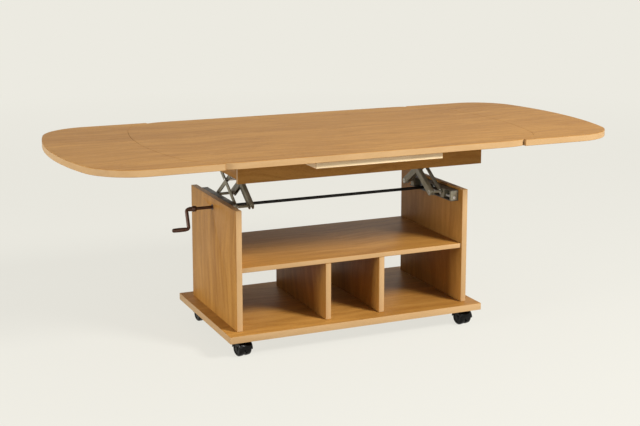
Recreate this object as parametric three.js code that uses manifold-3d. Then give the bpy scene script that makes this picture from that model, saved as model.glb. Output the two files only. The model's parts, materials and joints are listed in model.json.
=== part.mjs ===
// A coffee table on castors whose top is wound up and down by a crank and drawn out at both ends.
// Millimetres, +Z up, +X along the length, the front towards -Y. The origin is on the floor, under
// the middle of the base. The table stands half raised, with both leaves drawn out.

import * as THREE from "three";
import { mergeVertices } from "three/addons/utils/BufferGeometryUtils.js";
import Module from "manifold-3d";

const wasm = await Module();
wasm.setup();

// Clearances that the whole table shares.
const seatGap = 0.3; // between pieces that sit on, against or round each other
const runGap = 0.8; // between pieces that turn or slide past each other
const overrun = 3; // how far a cut runs past the face that it opens

// The cabinet: a base board, two side panels, a shelf and two dividers.
const baseLength = 880;
const baseDepth = 514;
const baseThickness = 22;
const panelThickness = 19;
const panelEndInset = 36; // base end to the panel's outer face
const panelEdgeInset = 40; // base edge to the panel's front and rear edges
const panelAboveShaft = 31; // the cross shaft's axis to the panels' top
const lowerBayHeight = 184; // base board to shelf
const shelfThickness = 16;
const shelfFrontInset = 5; // behind the panels' front edges
const dividerThickness = 19;
const dividerRearInset = 6;
const middleBayWidth = 169;

// The top: a main board, two leaves that draw out, and the fixed board between the stowed leaves.
const restHeight = 646; // floor to tabletop, as it stands
const boardThickness = 20.5;
const topHalfLength = 916; // with the leaves out
const topHalfWidth = 406;
const topEndRadius = 1075; // the bow of the ends
const topCornerRadius = 170;
const leafTravel = 280;
const leafSeam = 0.6; // between a leaf and the main board
const leafTipReach = 500; // middle of the table to a leaf's blunt tips
const stowClearance = 0.5; // over a stowed leaf
const centreBoardGap = 7; // to a stowed leaf's tips
const centreBoardSetback = 20; // behind the tabletop's front and rear edges
const pegRadius = 6; // loose dowels that locate the main board
const pegLength = 48;
const pegReach = 120; // middle of the table to a peg

// The skirt under the top and the bearers that carry the leaves.
const skirtOverPanel = 13; // the panels' outer faces to the side skirts'
const skirtSetback = 130; // behind the tabletop's front and rear edges
const skirtThickness = 16;
const skirtHeight = 50;
const sideSkirtRise = 12; // the side skirts end above the front one
const bearerWidth = 20;
const bearerHeight = 24;
const bearerInnerReach = 205; // middle of the table to a bearer's inner end
const bearerOuterReach = 770;
const bearerLaneInset = 29; // the front skirt's inner face to the middle of the left leaf's bearer
const bearerLaneStep = 28; // the right leaf's bearers run this far inside the left one's
const railUnderSkirt = 13.9; // the skirts' top to the upper rails' top
const hangerLip = 18; // the upper rail's flange down the side skirt

// The lift: at each end a scissor of flat straps by the panel and one of channel arms beside it,
// driven by screws in the lower rails.
const armPitch = 250; // end pivot to end pivot
const pivotRiseAtRest = 138; // lower end pivot to upper end pivot
const fixedPivotSetback = 79; // middle of the table to the fixed pivots
const armHeight = 22;
const armWidth = 14;
const armWall = 2.5;
const armLaneGap = 2; // beside and between the channel arms
const strapHeight = 14;
const strapWidth = 4;
const strapGap = 4; // between the two straps
const channelReachLeft = 44; // the first strap's outer face to the first channel arm
const channelReachRight = 16; // the right unit's channel arms stand close to its straps
const pivotRadius = 4.7;
const railHeight = 36;
const railWall = 2.5;
const railEndMargin = 10; // a pivot block's end to the rail's
const railSpare = 6; // the rail's end beyond a slider whose arms lie flat
const pivotUnderRailTop = 13.5;
const sliderHalfLength = 13;
const pivotBlockHalfLength = 11;

// The drive: crank, cross shaft, bevel gears and screws.
const shaftRadius = 5;
const bushRadius = 8;
const screwRadius = 5;
const gearRadius = 8;
const gearHubLength = 3;
const gearAboveRail = 0.5; // under the gears, to the rail
const gearWebGap = 2.4; // beside a gear, to the gearbox's wall by the panel
const gearFrontGap = 3.5; // and to its wall on the other side
const gearboxHalfLength = 17;
const gearboxWall = 2;
const endBearingLength = 8;
const crankHubReach = 52; // panel's outer face to the crank's hub
const crankHubLength = 19;
const crankHubRadius = 8.5;
const crankSocketDepth = 13;
const crankBarRadius = 5.6;
const crankElbowGap = 16; // the crank's hub to the middle of its arm
const crankBendRadius = 9;
const crankThrow = 63; // shaft axis to grip axis
const crankLean = 0.36; // radians forward of straight down
const gripRadius = 7;
const gripLength = 42;
const gripPinRadius = 3.2;
const gripCapRadius = 5;
const gripCapLength = 2.5;

// The castors, each a swivelling fork with a hood over twin wheels.
const castorInsetX = 50;
const castorInsetY = 65;
const wheelRadius = 24;
const wheelDome = 4; // the rounded outer shoulder of a wheel
const wheelFaceRadius = 19;
const wheelWidth = 17;
const wheelSpread = 5; // fork's middle plane to a wheel's inner face
const hoodWall = 1.6;
const hoodTopGap = 4.6; // the hood to the base board
const forkHalfThickness = 4;
const forkBossRadius = 11;
const castorTrail = 22; // swivel axis to axle
const castorStemRadius = 4;
const castorStemLength = 12; // the part of a stem inside the base board
const axleRadius = 2.6;
const castorTurns = { front_left: 0.18, front_right: 0.18, rear_left: 0.1, rear_right: 0.3 };

// Places worked out from the sizes above, the heights from the tabletop down to the lower rails.
const topBottom = restHeight - boardThickness;
const centreTop = topBottom - seatGap;
const centreBottom = centreTop - boardThickness - stowClearance;
const skirtTop = centreBottom - seatGap;
const skirtBottom = skirtTop - skirtHeight;
const upperRailTop = skirtTop - railUnderSkirt;
const upperRailBottom = upperRailTop - railHeight;
const upperPivotHeight = upperRailTop - pivotUnderRailTop;
const lowerPivotHeight = upperPivotHeight - pivotRiseAtRest;
const lowerRailBottom = lowerPivotHeight + pivotUnderRailTop - railHeight;
const shaftHeight = lowerRailBottom + railWall + gearAboveRail + gearRadius;
const panelTop = shaftHeight + panelAboveShaft;
const hoodInner = wheelRadius + runGap;
const hoodOuter = hoodInner + hoodWall;
const castorHeight = wheelRadius + hoodOuter + hoodTopGap;
const baseTop = castorHeight + baseThickness;
const shelfBottom = baseTop + lowerBayHeight;
const panelOuter = baseLength / 2 - panelEndInset;
const panelInner = panelOuter - panelThickness;
const panelHalfDepth = baseDepth / 2 - panelEdgeInset;
const centreBoardHalfLength = leafTipReach - leafTravel - centreBoardGap;
const skirtHalfLength = panelOuter + skirtOverPanel;
const skirtHalfDepth = topHalfWidth - skirtSetback;
const skirtInnerDepth = skirtHalfDepth - skirtThickness;
const bearerLaneLeft = skirtInnerDepth - bearerLaneInset;
const bearerLaneRight = bearerLaneLeft - bearerLaneStep;
const bearerSlope = (boardThickness + stowClearance) / leafTravel;
const gearRoomStart = seatGap + railWall + seatGap + gearboxWall;
const screwOffset = gearRoomStart + gearWebGap + gearRadius; // panel's inner face to the screw's axis
const railDepth = screwOffset + gearRadius + gearFrontGap + gearboxWall;
const railFixedEnd = fixedPivotSetback + pivotBlockHalfLength + railEndMargin;
const railSliderEnd = armPitch - fixedPivotSetback + sliderHalfLength + railSpare;
const firstLane = railDepth + armLaneGap;
const armAngle = Math.asin(pivotRiseAtRest / armPitch);
const armRun = Math.sqrt(armPitch ** 2 - pivotRiseAtRest ** 2);
const sliderPlace = armRun - fixedPivotSetback;
const secondLane = firstLane + strapWidth + strapGap;
const lanes = {
  left: {
    outer_b: firstLane,
    outer_a: secondLane,
    inner_b: firstLane + channelReachLeft,
    inner_a: firstLane + channelReachLeft + armWidth + armLaneGap,
  },
  right: {
    outer_b: secondLane,
    outer_a: firstLane,
    inner_b: firstLane + channelReachRight,
    inner_a: firstLane + channelReachRight + armWidth + armLaneGap,
  },
};
const castorX = baseLength / 2 - castorInsetX;
const castorY = baseDepth / 2 - castorInsetY;
const castorPlaces = {
  front_left: [-castorX, -castorY],
  front_right: [castorX, -castorY],
  rear_left: [-castorX, castorY],
  rear_right: [castorX, castorY],
};

// Materials.
function finish(color, roughness, metalness) {
  return new THREE.MeshStandardMaterial({ color, roughness, metalness });
}
const beech = finish(0xc9a06a, 0.45, 0);
const beechEdge = finish(0xd8b384, 0.5, 0);
const castorPlastic = finish(0x16140f, 0.5, 0);
const steel = finish(0x5c5548, 0.45, 0.8);
const blackSteel = finish(0x12100e, 0.4, 0.6);
const bronze = finish(0x4a3322, 0.4, 0.7);
const brightSteel = finish(0xa8a49c, 0.35, 0.9);

// Shapes.
function box(x0, x1, y0, y1, z0, z1) {
  const geometry = new THREE.BoxGeometry(x1 - x0, y1 - y0, z1 - z0);
  return geometry.translate((x0 + x1) / 2, (y0 + y1) / 2, (z0 + z1) / 2);
}

function rod(from, to, radius, sides = 12, endRadius = radius) {
  const start = new THREE.Vector3(...from);
  const along = new THREE.Vector3(...to).sub(start);
  const geometry = new THREE.CylinderGeometry(endRadius, radius, along.length(), sides);
  const turn = new THREE.Quaternion().setFromUnitVectors(
    new THREE.Vector3(0, 1, 0),
    along.clone().normalize(),
  );
  return geometry.applyQuaternion(turn).translate(...start.addScaledVector(along, 0.5));
}

function plate(outline, z0, z1) {
  const settings = { depth: z1 - z0, curveSegments: 6, bevelEnabled: false };
  return new THREE.ExtrudeGeometry(outline, settings).translate(0, 0, z0);
}

function solid(geometry) {
  const bare = geometry.clone();
  bare.deleteAttribute("normal");
  bare.deleteAttribute("uv");
  const merged = mergeVertices(bare);
  return new wasm.Manifold(
    new wasm.Mesh({
      numProp: 3,
      vertProperties: new Float32Array(merged.attributes.position.array),
      triVerts: new Uint32Array(merged.index.array),
    }),
  );
}

function geometryOf(body) {
  const { numProp, vertProperties, triVerts } = body.getMesh();
  const geometry = new THREE.BufferGeometry();
  const positions = new THREE.InterleavedBuffer(vertProperties, numProp);
  geometry.setAttribute("position", new THREE.InterleavedBufferAttribute(positions, 3, 0));
  geometry.setIndex(new THREE.BufferAttribute(triVerts, 1));
  return geometry.toNonIndexed();
}

function join(...geometries) {
  return geometries.map(solid).reduce((whole, next) => whole.add(next));
}

function cut(body, ...geometries) {
  const start = body instanceof THREE.BufferGeometry ? solid(body) : body;
  return geometries.map(solid).reduce((whole, next) => whole.subtract(next), start);
}

function add(parent, name, shape, material) {
  const geometry = shape instanceof THREE.BufferGeometry ? shape : geometryOf(shape);
  geometry.computeVertexNormals();
  const mesh = new THREE.Mesh(geometry, material);
  mesh.name = name;
  parent.add(mesh);
  return mesh;
}

// The tabletop's outline: straight long sides, bowed ends and round corners between them.
function boatOutline(halfLength, halfWidth, endRadius, cornerRadius) {
  const endCentre = halfLength - endRadius;
  const span = Math.sqrt((endRadius - cornerRadius) ** 2 - (halfWidth - cornerRadius) ** 2);
  const cornerX = endCentre + span;
  const cornerY = halfWidth - cornerRadius;
  const sweep = Math.atan2(cornerY, span);
  const points = [];
  const arc = (cx, cy, radius, start, end, steps) => {
    for (let i = 0; i <= steps; i += 1) {
      const angle = start + ((end - start) * i) / steps;
      points.push(new THREE.Vector2(cx + radius * Math.cos(angle), cy + radius * Math.sin(angle)));
    }
  };
  arc(cornerX, -cornerY, cornerRadius, -Math.PI / 2, -sweep, 9);
  arc(endCentre, 0, endRadius, -sweep, sweep, 14);
  arc(cornerX, cornerY, cornerRadius, sweep, Math.PI / 2, 9);
  arc(-cornerX, cornerY, cornerRadius, Math.PI / 2, Math.PI - sweep, 9);
  arc(-endCentre, 0, endRadius, Math.PI - sweep, Math.PI + sweep, 14);
  arc(-cornerX, -cornerY, cornerRadius, Math.PI + sweep, (3 * Math.PI) / 2, 9);
  return new THREE.Shape(points);
}

function slot(halfLength, radius) {
  const outline = new THREE.Shape();
  outline.absarc(halfLength, 0, radius, -Math.PI / 2, Math.PI / 2, false);
  outline.absarc(-halfLength, 0, radius, Math.PI / 2, (3 * Math.PI) / 2, false);
  outline.closePath();
  return outline;
}

const table = new THREE.Group();

// The cabinet.
function cabinet() {
  const depth = panelHalfDepth;
  const shelfFront = -depth + shelfFrontInset;
  const shelfReach = panelInner - seatGap;
  const boardTop = baseTop + seatGap;
  const sockets = Object.values(castorPlaces).map(([x, y]) => rod([x, y, castorHeight - overrun],
    [x, y, castorHeight + castorStemLength + seatGap], castorStemRadius + seatGap, 14));
  add(table, "base_plate", cut(box(-baseLength / 2, baseLength / 2, -baseDepth / 2, baseDepth / 2,
    castorHeight, baseTop), ...sockets), beech);
  const shaftHole = rod([-panelOuter - overrun, 0, shaftHeight],
    [-panelInner + overrun, 0, shaftHeight], bushRadius + seatGap, 20);
  add(table, "side_panel_left", cut(box(-panelOuter, -panelInner, -depth, depth, boardTop, panelTop),
    shaftHole), beech);
  add(table, "side_panel_right", box(panelInner, panelOuter, -depth, depth, boardTop, panelTop), beech);
  add(table, "middle_shelf", box(-shelfReach, shelfReach, shelfFront, depth,
    shelfBottom, shelfBottom + shelfThickness), beech);
  for (const [side, sign] of [["left", -1], ["right", 1]]) {
    const middle = sign * (middleBayWidth + dividerThickness) / 2;
    add(table, `divider_${side}`, box(middle - dividerThickness / 2, middle + dividerThickness / 2,
      shelfFront, depth - dividerRearInset, boardTop, shelfBottom - seatGap), beech);
  }
}

// A castor stands with its swivel axis at its group's origin and its wheels towards -Y.
function castorFork() {
  const bossTop = castorHeight - runGap;
  const halfWidth = wheelSpread + wheelWidth;
  const hoodShape = (radius, half) => rod([-half, -castorTrail, wheelRadius],
    [half, -castorTrail, wheelRadius], radius, 28);
  const boss = rod([0, 0, wheelRadius], [0, 0, bossTop], forkBossRadius, 20);
  const stem = rod([0, 0, wheelRadius], [0, 0, castorHeight + castorStemLength], castorStemRadius, 14);
  const below = box(-halfWidth - overrun, halfWidth + overrun, -castorTrail - hoodOuter - overrun,
    castorTrail + overrun, -overrun, wheelRadius);
  const web = join(hoodShape(hoodOuter, forkHalfThickness),
    box(-forkHalfThickness, forkHalfThickness, -castorTrail, 0, wheelRadius, bossTop));
  const shell = cut(hoodShape(hoodOuter, halfWidth), hoodShape(hoodInner, halfWidth + overrun), below);
  const wheelRoom = (sign) => rod([sign * (wheelSpread - runGap), -castorTrail, wheelRadius],
    [sign * (halfWidth + overrun), -castorTrail, wheelRadius], hoodInner, 28);
  const hub = rod([-forkHalfThickness - overrun, -castorTrail, wheelRadius],
    [forkHalfThickness + overrun, -castorTrail, wheelRadius], axleRadius + seatGap, 14);
  const lowerWeb = box(-halfWidth - overrun, halfWidth + overrun, -castorTrail - hoodOuter - overrun,
    castorTrail + overrun, -overrun, wheelRadius - axleRadius - hoodWall * 2);
  const body = web.subtract(solid(lowerWeb)).add(shell).add(solid(boss)).add(solid(stem));
  return cut(body, wheelRoom(-1), wheelRoom(1), hub);
}

function castorWheels() {
  const at = (x) => [x, -castorTrail, wheelRadius];
  const shoulder = wheelSpread + wheelWidth - wheelDome;
  const wheel = (sign) => join(
    rod(at(sign * wheelSpread), at(sign * shoulder), wheelRadius, 28),
    rod(at(sign * shoulder), at(sign * (shoulder + wheelDome)), wheelRadius, 28, wheelFaceRadius),
  );
  const axleEnd = wheelSpread + wheelWidth / 2;
  return wheel(-1).add(wheel(1)).add(solid(rod(at(-axleEnd), at(axleEnd), axleRadius)));
}

function castors() {
  for (const [place, at] of Object.entries(castorPlaces)) {
    const castor = new THREE.Group();
    castor.position.set(...at, 0);
    castor.rotation.z = castorTurns[place];
    table.add(castor);
    add(castor, `castor_fork_${place}`, castorFork(), castorPlastic);
    add(castor, `castor_wheels_${place}`, castorWheels(), castorPlastic);
  }
}

// A lift unit is built at a panel's inner face: X runs into the table, Y along the rails, and the
// fixed pivots are at -Y. The right unit is the left one turned half round.
function rail(bottom) {
  const outer = box(seatGap, seatGap + railDepth, -railFixedEnd, railSliderEnd,
    bottom, bottom + railHeight);
  const hollow = box(seatGap + railWall, railDepth + overrun, -railFixedEnd - overrun,
    railSliderEnd + overrun, bottom + railWall, bottom + railHeight - railWall);
  return cut(outer, hollow);
}

// A block that fits inside a rail, between its walls.
function railBlock(bottom, y0, y1) {
  return box(seatGap + railWall + seatGap, railDepth, y0, y1,
    bottom + railWall + seatGap, bottom + railHeight - railWall - seatGap);
}

function pivotBlock(bottom, place, halfLength, pinReach) {
  const height = bottom + railHeight - pivotUnderRailTop;
  return join(railBlock(bottom, place - halfLength, place + halfLength),
    rod([railDepth - overrun, place, height], [pinReach, place, height], pivotRadius));
}

// A flat bar with round ends and three pivot holes, centred on its middle one.
function flatArm(lane, width, height) {
  const end = armPitch / 2;
  const blank = plate(slot(end, height / 2), lane, lane + width);
  const upright = new THREE.Matrix4().set(0, 0, 1, 0, 1, 0, 0, 0, 0, 1, 0, 0, 0, 0, 0, 1);
  const holes = [-end, 0, end].map((y) => rod([lane - overrun, y, 0],
    [lane + width + overrun, y, 0], pivotRadius + seatGap, 12));
  return cut(blank.applyMatrix4(upright), ...holes);
}

function channelArm(lane) {
  const radius = armHeight / 2;
  const reach = armPitch / 2 + radius + overrun;
  const hollow = box(lane + armWall, lane + armWidth - armWall, -reach, reach,
    -radius - overrun, radius - armWall);
  return flatArm(lane, armWidth, armHeight).subtract(solid(hollow));
}

// Bevel gears as plain cones whose pitch surfaces meet along a 45 degree line.
function bevelGear(from, direction, shaft) {
  const centre = new THREE.Vector3(...from);
  const toward = new THREE.Vector3(...direction);
  const at = (distance) => centre.clone().addScaledVector(toward, distance).toArray();
  const small = shaft + runGap;
  return join(rod(at(small + seatGap), at(gearRadius + seatGap), small, 20, gearRadius),
    rod(at(gearRadius), at(gearRadius + gearHubLength), gearRadius, 20));
}

function liftUnit(side, sign) {
  const unit = new THREE.Group();
  unit.position.x = sign * panelInner;
  unit.rotation.z = sign > 0 ? Math.PI : 0;
  table.add(unit);
  const name = (piece) => `${piece}_${side}`;
  const axis = [screwOffset, 0, shaftHeight];
  const shaftBore = (x0, x1) => rod([x0, 0, shaftHeight], [x1, 0, shaftHeight], shaftRadius + seatGap);
  const screwBore = (y0, y1) => rod([screwOffset, y0, shaftHeight], [screwOffset, y1, shaftHeight],
    screwRadius + seatGap);
  const bearingStart = railSliderEnd - endBearingLength;
  const reachOfA = lanes[side].inner_a + armWidth + armLaneGap;
  const reachOfB = lanes[side].inner_b + armWidth + armLaneGap / 2;
  const fixedBlock = (bottom, reach) => pivotBlock(bottom, -fixedPivotSetback, pivotBlockHalfLength, reach);
  const slidingBlock = (bottom, reach) => pivotBlock(bottom, sliderPlace, sliderHalfLength, reach);

  add(unit, name("lower_rail"), cut(rail(lowerRailBottom), shaftBore(-overrun, railWall + overrun)), steel);
  add(unit, name("lower_pivot"), fixedBlock(lowerRailBottom, reachOfB), steel);
  const housing = railBlock(lowerRailBottom, -gearboxHalfLength, gearboxHalfLength);
  const gearRoom = box(gearRoomStart, railDepth - gearboxWall,
    gearboxWall - gearboxHalfLength, gearboxHalfLength - gearboxWall,
    lowerRailBottom, shaftHeight + gearRadius + runGap);
  add(unit, name("gearbox"), cut(housing, gearRoom, shaftBore(-overrun, railDepth + overrun),
    screwBore(0, gearboxHalfLength + overrun)), blackSteel);
  add(unit, name("end_bearing"), cut(railBlock(lowerRailBottom, bearingStart, railSliderEnd),
    screwBore(bearingStart - overrun, railSliderEnd + overrun)), blackSteel);
  const screw = rod([screwOffset, gearRadius + seatGap + gearHubLength / 2, shaftHeight],
    [screwOffset, railSliderEnd, shaftHeight], screwRadius);
  add(unit, name("lift_screw"), bevelGear(axis, [0, 1, 0], shaftRadius).add(solid(screw)), brightSteel);
  add(unit, name("screw_slider"), cut(slidingBlock(lowerRailBottom, reachOfA),
    screwBore(sliderPlace - sliderHalfLength - overrun, sliderPlace + sliderHalfLength + overrun)), steel);

  // The upper rail has a flange that carries it out over the panel, with a lip down the side skirt.
  const hangerReach = skirtHalfLength - skirtThickness - seatGap - panelInner;
  const flange = box(-hangerReach, seatGap + railWall, -railFixedEnd, railSliderEnd,
    upperRailTop - railWall, upperRailTop);
  const lip = box(-hangerReach, railWall - hangerReach, -railFixedEnd, railSliderEnd,
    upperRailTop - hangerLip, upperRailTop);
  add(unit, name("upper_rail"), rail(upperRailBottom).add(solid(flange)).add(solid(lip)), steel);
  add(unit, name("upper_pivot"), fixedBlock(upperRailBottom, reachOfA), steel);
  add(unit, name("upper_slider"), slidingBlock(upperRailBottom, reachOfB), steel);

  const crossing = [0, (sliderPlace - fixedPivotSetback) / 2,
    (lowerPivotHeight + upperPivotHeight) / 2];
  for (const [place, lane] of Object.entries(lanes[side])) {
    const shape = place.startsWith("outer") ? flatArm(lane, strapWidth, strapHeight) : channelArm(lane);
    const mesh = add(unit, name(`arm_${place}`), shape, steel);
    mesh.position.set(...crossing);
    mesh.rotation.x = place.endsWith("b") ? armAngle : -armAngle;
  }
  const centrePin = add(unit, name("centre_pin"), rod([railDepth + runGap, 0, 0],
    [reachOfA, 0, 0], pivotRadius), brightSteel);
  centrePin.position.set(...crossing);
}

// The crank, its shaft across the table, and the gears on it.
function drive() {
  const hubOuter = -panelOuter - crankHubReach - crankHubLength;
  const hubInner = -panelOuter - crankHubReach;
  const elbow = hubOuter - crankElbowGap;
  const at = (x, y = 0, z = 0) => [x, y, shaftHeight + z];
  const rightEnd = panelInner - seatGap - railWall - runGap;
  const pinions = [-1, 1].map((sign) => bevelGear(at(sign * (panelInner - screwOffset)), [-sign, 0, 0],
    shaftRadius));
  const shaft = solid(rod(at(hubInner - crankSocketDepth), at(rightEnd), shaftRadius));
  add(table, "cross_shaft", shaft.add(pinions[0]).add(pinions[1]), blackSteel);
  add(table, "shaft_bush", cut(rod(at(-panelOuter), at(-panelInner), bushRadius, 20),
    rod(at(-panelOuter - overrun), at(-panelInner + overrun), shaftRadius + seatGap)), bronze);

  const down = new THREE.Vector3(0, -Math.sin(crankLean), -Math.cos(crankLean));
  const armPoint = (x, distance) => new THREE.Vector3(...at(x)).addScaledVector(down, distance);
  const bend = crankBendRadius;
  const bar = new THREE.CurvePath();
  const corner = (before, tip, after) => bar.add(new THREE.QuadraticBezierCurve3(before, tip, after));
  bar.add(new THREE.LineCurve3(armPoint(hubOuter + overrun, 0), armPoint(elbow + bend, 0)));
  corner(armPoint(elbow + bend, 0), armPoint(elbow, 0), armPoint(elbow, bend));
  bar.add(new THREE.LineCurve3(armPoint(elbow, bend), armPoint(elbow, crankThrow - bend)));
  corner(armPoint(elbow, crankThrow - bend), armPoint(elbow, crankThrow),
    armPoint(elbow - bend, crankThrow));
  const section = new THREE.Shape().absarc(0, 0, crankBarRadius, 0, Math.PI * 2);
  const barSolid = new THREE.ExtrudeGeometry(section, { steps: 28, curveSegments: 5,
    bevelEnabled: false, extrudePath: bar });
  const gripStart = elbow - bend - seatGap;
  const gripEnd = gripStart - gripLength;
  const gripAxis = (x) => armPoint(x, crankThrow).toArray();
  const pin = rod(gripAxis(elbow - bend + overrun), gripAxis(gripEnd - seatGap), gripPinRadius, 12);
  const cap = rod(gripAxis(gripEnd - seatGap), gripAxis(gripEnd - seatGap - gripCapLength),
    gripCapRadius, 16);
  const hub = cut(rod(at(hubOuter), at(hubInner), crankHubRadius, 20),
    rod(at(hubInner - crankSocketDepth - seatGap), at(hubInner + overrun), shaftRadius + seatGap));
  add(table, "crank_arm", hub.add(solid(barSolid)).add(solid(pin)).add(solid(cap)), bronze);
  add(table, "crank_grip", cut(rod(gripAxis(gripStart), gripAxis(gripEnd), gripRadius, 20),
    rod(gripAxis(gripStart + overrun), gripAxis(gripEnd - overrun), gripPinRadius + seatGap, 12)), bronze);
}

// The frame under the top: four skirts and the fixed centre board.
function topFrame() {
  for (const [side, sign] of [["front", -1], ["rear", 1]]) {
    const faces = [sign * skirtInnerDepth, sign * skirtHalfDepth].sort((a, b) => a - b);
    add(table, `skirt_${side}`, box(-skirtHalfLength, skirtHalfLength, ...faces,
      skirtBottom, skirtTop), beech);
  }
  const sideReach = skirtInnerDepth - seatGap;
  for (const [side, sign, lane] of [["left", -1, bearerLaneLeft], ["right", 1, bearerLaneRight]]) {
    const sideInner = skirtHalfLength - skirtThickness;
    const faces = [sign * sideInner, sign * skirtHalfLength].sort((a, b) => a - b);
    const notches = [-1, 1].map((end) => box(faces[0] - overrun, faces[1] + overrun,
      end * lane - bearerWidth / 2 - runGap, end * lane + bearerWidth / 2 + runGap,
      bearerTop(sideInner) - bearerHeight - seatGap, skirtTop + overrun));
    add(table, `skirt_${side}`, cut(box(...faces, -sideReach, sideReach,
      skirtBottom + sideSkirtRise, skirtTop), ...notches), beech);
  }
  const halfWidth = topHalfWidth - centreBoardSetback;
  const pegHoles = [-pegReach, pegReach].map((x) => rod([x, 0, centreBottom - overrun],
    [x, 0, centreTop + overrun], pegRadius + seatGap));
  add(table, "centre_board", cut(box(-centreBoardHalfLength, centreBoardHalfLength, -halfWidth,
    halfWidth, centreBottom, centreTop), ...pegHoles), beechEdge);
}

// Height of a bearer's sloping back at a distance from the middle of the table.
function bearerTop(reach) {
  return centreTop - (leafTipReach - reach) * bearerSlope;
}

// A leaf rides on two tapered bearers. Their underside slopes, so the leaf rises as it is drawn out.
function bearer(sign, lane) {
  const outline = new THREE.Shape();
  outline.moveTo(sign * bearerInnerReach, bearerTop(bearerInnerReach));
  outline.lineTo(sign * bearerInnerReach, bearerTop(bearerInnerReach) - bearerHeight);
  outline.lineTo(sign * bearerOuterReach, bearerTop(bearerOuterReach) - bearerHeight);
  outline.lineTo(sign * bearerOuterReach, centreTop);
  outline.lineTo(sign * leafTipReach, centreTop);
  outline.closePath();
  const upright = new THREE.Matrix4().set(1, 0, 0, 0, 0, 0, -1, 0, 0, 1, 0, 0, 0, 0, 0, 1);
  return plate(outline, -lane - bearerWidth / 2, -lane + bearerWidth / 2).applyMatrix4(upright);
}

function tabletop() {
  const mainHalfLength = topHalfLength - leafTravel;
  const whole = boatOutline(topHalfLength, topHalfWidth, topEndRadius, topCornerRadius);
  const main = boatOutline(mainHalfLength, topHalfWidth, topEndRadius, topCornerRadius);
  const mainAndSeam = boatOutline(mainHalfLength + leafSeam, topHalfWidth + leafSeam,
    topEndRadius + leafSeam, topCornerRadius + leafSeam);
  add(table, "main_top", plate(main, topBottom, restHeight), beech);
  const ring = cut(plate(whole, topBottom, restHeight),
    plate(mainAndSeam, topBottom - overrun, restHeight + overrun));
  for (const [side, sign, lane] of [["left", -1, bearerLaneLeft], ["right", 1, bearerLaneRight]]) {
    const past = topHalfLength + overrun;
    const kept = box(...[sign * leafTipReach, sign * past].sort((a, b) => a - b), -past, past,
      topBottom - overrun, restHeight + overrun);
    add(table, `leaf_${side}`, ring.intersect(solid(kept)), beech);
    add(table, `leaf_bearer_${side}_front`, bearer(sign, -lane), beech);
    add(table, `leaf_bearer_${side}_rear`, bearer(sign, lane), beech);
    const pegX = sign * pegReach;
    add(table, `top_peg_${side}`, rod([pegX, 0, centreTop - pegLength], [pegX, 0, centreTop], pegRadius),
      beech);
  }
}

cabinet();
castors();
liftUnit("left", -1);
liftUnit("right", 1);
drive();
topFrame();
tabletop();

export default table;
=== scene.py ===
"""Finishes a coffee table on castors: its beech boards, its scissor lift and its crank."""

import json
import math

import bmesh
import bpy
from bpy.props import FloatProperty, FloatVectorProperty, IntProperty, PointerProperty
from mathutils import Matrix, Vector


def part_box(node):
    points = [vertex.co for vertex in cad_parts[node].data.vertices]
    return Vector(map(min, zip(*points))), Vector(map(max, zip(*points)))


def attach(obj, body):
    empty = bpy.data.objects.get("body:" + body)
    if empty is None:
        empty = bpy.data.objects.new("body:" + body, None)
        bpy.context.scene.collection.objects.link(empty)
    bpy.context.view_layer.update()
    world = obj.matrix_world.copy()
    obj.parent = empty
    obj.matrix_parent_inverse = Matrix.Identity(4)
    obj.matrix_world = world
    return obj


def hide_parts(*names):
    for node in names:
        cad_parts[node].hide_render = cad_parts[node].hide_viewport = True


bl_info = {
    "name": "Crank-lift coffee table",
    "version": (1, 0, 0),
    "blender": (4, 5, 0),
    "location": "3D View > Sidebar > Coffee table",
    "description": "Finishes the boards, castors, scissor lift and crank of a coffee table",
    "category": "Object",
}

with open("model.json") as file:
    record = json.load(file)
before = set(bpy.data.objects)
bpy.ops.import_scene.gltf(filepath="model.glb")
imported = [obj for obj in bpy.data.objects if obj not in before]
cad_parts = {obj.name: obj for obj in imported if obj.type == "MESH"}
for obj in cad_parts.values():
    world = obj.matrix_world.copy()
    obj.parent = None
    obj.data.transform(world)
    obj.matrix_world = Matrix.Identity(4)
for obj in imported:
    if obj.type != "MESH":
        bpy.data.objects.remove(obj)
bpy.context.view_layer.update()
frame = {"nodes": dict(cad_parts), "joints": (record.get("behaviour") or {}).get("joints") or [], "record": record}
BODIES = frame["record"]["behaviour"]["bodies"]
BODY_OF = {node: body for body, nodes in BODIES.items() for node in nodes}
JOINTS = {joint["name"]: joint for joint in frame["joints"]}
SIDES = {"left": -1, "right": 1}
CORNERS = ("front_left", "front_right", "rear_left", "rear_right")
ALONG_X, ALONG_Y, UPRIGHT = Vector((1, 0, 0)), Vector((0, 1, 0)), Vector((0, 0, 1))
# How each way of the grain, along X, Y and Z, is turned to run along X.
WAYS = {"long": (0, 0, 0), "deep": (0, 0, math.pi / 2), "upright": (0, math.pi / 2, 0)}
# Where faces meet at more than this, the edge is shaded sharp.
CREASE = math.radians(38)


def linear(red, green, blue):
    """A colour as it looks on screen, 0 to 255, as linear light."""
    shares = [channel / 255 for channel in (red, green, blue)]
    return tuple(s / 12.92 if s <= 0.04045 else ((s + 0.055) / 1.055) ** 2.4 for s in shares)


def colour(name, description, default):
    return FloatVectorProperty(name=name, description=description, default=default, subtype="COLOR",
                               size=3, min=0, max=1)


def length(name, description, default):
    return FloatProperty(name=name, description=description, default=default, min=0, unit="LENGTH",
                         precision=5)


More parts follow.
